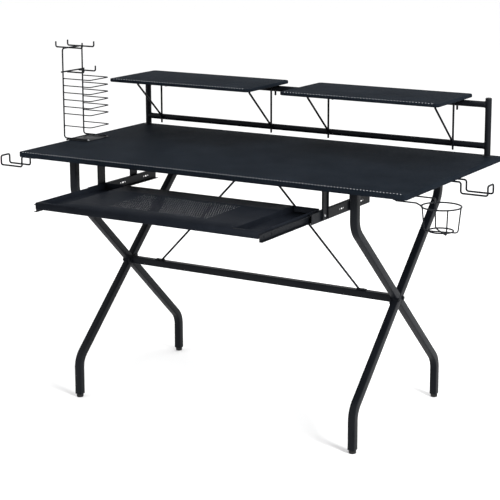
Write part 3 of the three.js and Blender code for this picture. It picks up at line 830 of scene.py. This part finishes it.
def makeTrayPan():
    low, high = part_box("keyboard_tray")
    middleX = (low.x + high.x) / 2
    sheet = tray["sheet"] * mm
    deckHalf = tray["deckHalf"] * mm
    top = high.z - sheet / 2
    pitch = tray["holePitch"] * mm
    columns = int(2 * tray["fieldHalf"] / tray["holePitch"])
    rows = int((tray["fieldBack"] - tray["fieldFront"]) / tray["holePitch"])
    fieldX = columns * pitch / 2
    fieldY = low.y + tray["fieldFront"] * mm
    bm = bmesh.new()
    holeCell(bm, pitch, tray["holeRadius"] * mm, Vector((0, 0, 0)))
    cell = bm.verts[:] + bm.edges[:] + bm.faces[:]
    for row in range(rows):
        shifted = row % 2
        count = columns - shifted
        y = fieldY + (row + 0.5) * pitch
        for column in range(count):
            x = middleX - fieldX + (column + 0.5 + 0.5 * shifted) * pitch
            copied = bmesh.ops.duplicate(bm, geom=cell)["geom"]
            bmesh.ops.translate(bm, vec=(x, y, top), verts=onlyVerts(copied))
        if shifted:
            for end in (-1, 1):
                x = middleX + end * (fieldX - pitch / 4)
                place = Matrix.Translation((x, y, top)) @ Matrix.Diagonal((0.5, 1, 1, 1))
                bmesh.ops.create_grid(bm, x_segments=1, y_segments=1, size=pitch / 2, matrix=place)
    bmesh.ops.delete(bm, geom=onlyVerts(cell), context="VERTS")
    bmesh.ops.remove_doubles(bm, verts=bm.verts, dist=closeEnough)

    def rimAt(axis, value):
        return [
            e for e in bm.edges
            if e.is_boundary and all(abs(v.co[axis] - value) < closeEnough for v in e.verts)
        ]

    def pullTo(axis, start, end):
        move = [0, 0, 0]
        move[axis] = end - start
        return pull(bm, rimAt(axis, start), Vector(move))

    pullTo(0, middleX - fieldX, middleX - deckHalf)
    pullTo(0, middleX + fieldX, middleX + deckHalf)
    pullTo(1, fieldY, low.y + sheet / 2)
    pullTo(1, fieldY + rows * pitch, high.y - sheet / 2)
    # the deck's sides fold down, run out as the channel floors and fold up into the side walls
    drop = Vector((0, 0, -(tray["channelDrop"] - tray["sheet"]) * mm))
    for sign, wall in ((-1, low.x + sheet / 2), (1, high.x - sheet / 2)):
        edge = rimAt(0, middleX + sign * deckHalf)
        edge = pull(bm, edge, drop)
        edge = pull(bm, edge, Vector((wall - middleX - sign * deckHalf, 0, 0)))
        pull(bm, edge, -drop)
    folds = [e for e in bm.edges if len(e.link_faces) == 2 and e.calc_face_angle(0) > 1.0]
    soften(bm, folds, tray["bendSoft"] * mm, 3)
    thicken(keepPiece(bm, "trayPan", trayCoat, "tray", ["keyboard_tray"], 50))


def makeFoldedStrip(name, start, end, moves):
    # a strip of sheet drawn out from a line, with a rounded fold between one move and the next
    bm = bmesh.new()
    line = [bm.edges.new((bm.verts.new(start), bm.verts.new(end)))]
    for move in moves:
        line = pull(bm, line, Vector(move))
    folds = [e for e in bm.edges if len(e.link_faces) == 2]
    soften(bm, folds, tray["bendSoft"] * mm, 4)
    thicken(keepPiece(bm, name, trayCoat, "tray", (), 50))


def makeTrayApron(name, front):
    # a folded strip that closes the front or back of the pan, with a lip turned in along the bottom
    low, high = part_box("keyboard_tray")
    sheet = tray["sheet"] * mm
    below = tray["apronBelow"] * mm
    inward = 1 if front else -1
    y = low.y + sheet / 2 if front else high.y - sheet / 2
    start, end = (low.x + sheet / 2, y, high.z - below), (high.x - sheet / 2, y, high.z - below)
    down = (0, 0, low.z - high.z + sheet / 2 + below)
    makeFoldedStrip(name, start, end, [down, (0, inward * tray["lip"] * mm, 0)])


def makeChannelRim(name, sign):
    # the front of each channel is closed by a folded strip level with the deck
    low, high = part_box("keyboard_tray")
    sheet = tray["sheet"] * mm
    middleX = (low.x + high.x) / 2
    inner = middleX + sign * (tray["deckHalf"] - tray["rimLap"]) * mm
    outer = (high.x if sign > 0 else low.x) - sign * sheet
    start, end = (inner, low.y + sheet, high.z - sheet / 2), (outer, low.y + sheet, high.z - sheet / 2)
    back = (0, tray["rim"] * mm - sheet, 0)
    down = (0, 0, -(tray["channelDrop"] - tray["sheet"]) * mm)
    makeFoldedStrip(name, start, end, [back, down])


makeTrayPan()
makeChannelRim("leftChannelRim", -1)
makeChannelRim("rightChannelRim", 1)
makeTrayApron("trayFrontApron", True)
makeTrayApron("trayRearApron", False)
print("keyboard tray ready")


# ---- cup holder, hooks and rack
plate = {"thick": 2, "gap": 0.3, "soft": 0.7}
cup = {
    "x": 687, "y": -298, "topZ": 684, "lowZ": 624.5, "topRadius": 48.5, "lowRadius": 30,
    "wire": 2, "rib": 1.75, "ribAngles": (10, -48), "ribBend": 8, "ribInset": 0.5, "waistInset": 7,
    "weld": 1, "ribBead": 2.6, "beadRise": 1.6, "armBead": 2.8, "armInX": 566, "armBend": 12,
    # each arm's y, the x of its bend and the angle in degrees at which it meets the ring
    "arms": ((-300, 622, 200), (-226, 638, 131)),
    "plate": (562, 590, -306, -220),
}


def makePlate(bm, x0, x1, y0, y1):
    low, high = at(x0, y0, 0), at(x1, y1, 0)
    low.z = deskUnder - (plate["gap"] + plate["thick"]) * mm
    high.z = deskUnder - plate["gap"] * mm
    boxBlock(bm, low, high, plate["soft"])


def wireRing(bm, radius, thick, centre):
    profile = []
    for i in range(13):
        angle = 2 * math.pi * i / 12
        profile.append((radius + thick * math.cos(angle), thick * math.sin(angle)))
    turned(bm, profile, centre, (0, 0, 1), 64)


def cupPoint(degrees, radius, z):
    angle = math.radians(degrees)
    return at(cup["x"] + radius * math.cos(angle), cup["y"] + radius * math.sin(angle), z)


def makeCupHolder():
    topZ, topRadius, lowRadius = cup["topZ"], cup["topRadius"], cup["lowRadius"]
    bm = bmesh.new()
    wireRing(bm, topRadius, cup["wire"], at(cup["x"], cup["y"], topZ))
    wireRing(bm, lowRadius, cup["wire"], at(cup["x"], cup["y"], cup["lowZ"]))
    low = cup["lowZ"] - cup["wire"] - cup["rib"] + cup["weld"]
    top, waist, beadZ = topRadius - cup["ribInset"], topRadius - cup["waistInset"], low + cup["beadRise"]
    for degrees in cup["ribAngles"]:
        bends = ((top, topZ), (waist, low), (-waist, low), (-top, topZ))
        route = [cupPoint(degrees, radius, z) for radius, z in bends]
        sweepWire(bm, route, cup["ribBend"], cup["rib"], 8)
        for radius, z in ((top, topZ), (-top, topZ), (lowRadius, beadZ), (-lowRadius, beadZ)):
            addSphere(bm, cupPoint(degrees, radius, z), cup["ribBead"], (1, 1, 0.8), 12)
    arm = deskUnder / mm - plate["gap"] - plate["thick"] - cup["wire"] + cup["weld"] / 2
    for y, bendX, degrees in cup["arms"]:
        end = cupPoint(degrees, topRadius, topZ)
        route = [at(cup["armInX"], y, arm), at(bendX, y, arm), end]
        sweepWire(bm, route, cup["armBend"], cup["wire"], 8)
        addSphere(bm, end, cup["armBead"], (1, 1, 0.85), 12)
    makePlate(bm, *cup["plate"])
    keepPiece(bm, "cupHolder", blackCoat, "frame", ["cup_holder"])


hook = {
    "radius": 2.5, "spacing": 37, "inX": 562, "dropX": 611, "tipX": 686, "lowZ": 656, "tipZ": 682, "bend": 6,
    "sunk": 0.5, "plateInset": 3, "plateReach": 28, "plateMargin": 6,
    "middle": {"left": -263, "right": 16},
}


def makeHook(side, sign):
    # one wire runs out along the first arm, across between the tips and back along the second
    y0 = hook["middle"][side] - hook["spacing"] / 2
    y1 = hook["middle"][side] + hook["spacing"] / 2
    high = deskUnder / mm - plate["gap"] - plate["thick"] - hook["radius"] + hook["sunk"]
    inX, dropX, tipX = sign * hook["inX"], sign * hook["dropX"], sign * hook["tipX"]
    bends = ((inX, high), (dropX, high), (dropX, hook["lowZ"]), (tipX, hook["lowZ"]), (tipX, hook["tipZ"]))
    route = [at(x, y0, z) for x, z in bends] + [at(x, y1, z) for x, z in bends[::-1]]
    bm = bmesh.new()
    sweepWire(bm, route, hook["bend"], hook["radius"], 8, 16)
    x0, x1 = sorted((inX + sign * hook["plateInset"], inX + sign * hook["plateReach"]))
    makePlate(bm, x0, x1, y0 - hook["plateMargin"], y1 + hook["plateMargin"])
    keepPiece(bm, side + "Hook", blackCoat, "frame", ["hook_" + side])


rack = {
    "x": -618, "frontY": -75, "rearY": 18, "topZ": 973, "footX": -535, "footZ": 709.6, "wire": 2.25,
    "bend": 8, "barX": -604.6, "barOver": 8, "lap": 2, "weld": 1, "beadRadius": 2.9, "plateSoft": 0.8,
    "stations": (-54, 2), "inX": -562, "outX": -658, "rise": 16, "midZ": 902.5, "midInset": 4,
    "hookBend": 5,
    "loops": 7, "loopX": -522, "loopWire": 1.6, "loopBend": 9, "loopBead": 2.3, "loopSunk": 0.6,
}


def makeRackFrame():
    x, y0, y1, z, top = rack["x"], rack["frontY"], rack["rearY"], rack["footZ"], rack["topZ"]
    wire, footX, over, lap = rack["wire"], rack["footX"], rack["barOver"], rack["lap"]
    bm = bmesh.new()
    front = [at(footX, y0, z), at(x, y0, z), at(x, y0, top)]
    rear = [at(x, y1, top), at(x, y1, z), at(footX, y1, z)]
    sweepWire(bm, front + rear, rack["bend"], wire, 8, 16)
    barX, barZ, mid = rack["barX"], z - 2 * wire + rack["weld"], rack["midZ"]
    sweepWire(bm, [at(barX, y0 - over, barZ), at(barX, y1 + over, barZ)], 1, wire, 4, 16)
    sweepWire(bm, [at(x, y0 - over, mid + lap), at(x, y1 + lap, mid + lap)], 1, wire, 4, 16)
    # a double-ended hook across the top and a single one lower down, at each station
    outX, inX = rack["outX"], rack["inX"]
    midX, midTip = inX + rack["midInset"], mid + rack["rise"]
    bar = top + rack["weld"]
    tip = bar + rack["rise"]
    for y in rack["stations"]:
        high = [at(outX, y, tip), at(outX, y, bar), at(inX, y, bar), at(inX, y, tip)]
        sweepWire(bm, high, rack["hookBend"], wire, 8, 16)
        low = [at(x, y, mid), at(midX, y, mid), at(midX, y, midTip)]
        sweepWire(bm, low, rack["hookBend"], wire, 8, 16)
        addSphere(bm, at(x, y, top + rack["weld"] / 2), rack["beadRadius"], (1.1, 1.1, 0.9), 12)
        addSphere(bm, at(x, y, mid + rack["weld"]), rack["beadRadius"], (1.1, 1.1, 1), 12)
    keepPiece(bm, "rackFrame", blackCoat, "frame", ["rack_frame"])


def makeRackLoop(i):
    node = f"rack_loop_{i + 1}"
    low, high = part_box(node)
    x, y0, y1, farX = rack["x"], rack["frontY"], rack["rearY"], rack["loopX"]
    z = (low.z + high.z) / 2 / mm
    start = x + rack["wire"] * rack["loopSunk"]
    bm = bmesh.new()
    loop = [at(start, y0, z), at(farX, y0, z), at(farX, y1, z), at(start, y1, z)]
    sweepWire(bm, loop, rack["loopBend"], rack["loopWire"], 8, 14)
    for y in (y0, y1):
        addSphere(bm, at(x + rack["loopWire"], y, z), rack["loopBead"], (1, 1, 0.8), 12)
    keepPiece(bm, f"rackLoop{i + 1}", blackCoat, "frame", [node])


def makeRackPlate():
    bm = bmesh.new()
    boxBlock(bm, *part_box("rack_base_plate"), rack["plateSoft"])
    keepPiece(bm, "rackBasePlate", blackCoat, "frame", ["rack_base_plate"])


screws = {
    "height": 617.5,
    # radius and height of each kind of head
    "rackHead": (3.4, 1.5),
    "slideHead": (3.2, 1.4),
    "hangerHead": (3.6, 1.6),
    "rackX": -538, "rackY": (-66, 20),
    "slideX": 336.5, "slideY": (-541, -504),
    "hangerX": 350.1, "hangerY": (-258, -106),
}


def makeScrew(name, centre, axis, body, finish, head):
    # a pan-head screw with a raised cross on it
    axis = Vector(axis).normalized()
    radius, high = head
    shoulders = ((0, 1), (0.5, 0.96), (0.82, 0.72), (1, 0.25), (1, 0), (0, 0))
    bm = bmesh.new()
    turned(bm, [(radius * across, high * up) for across, up in shoulders], centre, axis, 28)
    top = centre + axis * (high * mm)
    side = axis.orthogonal().normalized()
    for arm in (side, axis.cross(side)):
        reach = arm * (radius * 0.45 * mm)
        sweepWire(bm, [top - reach, top + reach], 1, radius * 0.12, 4, 6)
    keepPiece(bm, name, finish, body, (), 40)


makeCupHolder()
for side, sign in (("left", -1), ("right", 1)):
    makeHook(side, sign)
makeRackFrame()
for i in range(rack["loops"]):
    makeRackLoop(i)
makeRackPlate()
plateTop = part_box("rack_base_plate")[1].z
for i, y in enumerate(screws["rackY"]):
    spot = at(screws["rackX"], y, plateTop / mm)
    makeScrew(f"rackScrew{i + 1}", spot, (0, 0, 1), "frame", zincPlate, screws["rackHead"])
for side, sign in (("left", -1), ("right", 1)):
    for i, y in enumerate(screws["slideY"]):
        spot = at(sign * screws["slideX"], y, screws["height"])
        makeScrew(f"{side}SlideScrew{i + 1}", spot, (sign, 0, 0), "tray", blackCoat, screws["slideHead"])
    for i, y in enumerate(screws["hangerY"]):
        spot = at(sign * screws["hangerX"], y, screws["height"])
        makeScrew(f"{side}HangerScrew{i + 1}", spot, (sign, 0, 0), "frame", zincPlate, screws["hangerHead"])
print("wire parts ready")


# ---- pieces carried over from the frame model
carried = {
    "mount_bar": blackCoat, "slide_outer": blackCoat, "slide_inner": blackCoat, "slide_retainer": zincPlate,
    "hanger": blackCoat,
}
for name, piece in nodes.items():
    for word, finish in carried.items():
        if word in name:
            piece.data.materials.clear()
            piece.data.materials.append(finish)

bm = bmesh.new()
bmesh.ops.create_grid(bm, x_segments=1, y_segments=1, size=studio["floorHalf"])
floorMesh = bpy.data.meshes.new("floor")
bm.to_mesh(floorMesh)
bm.free()
floorMesh.materials.append(makeFloorFinish())
floor = bpy.data.objects.new("floor", floorMesh)
bpy.context.scene.collection.objects.link(floor)

print("scene finished")
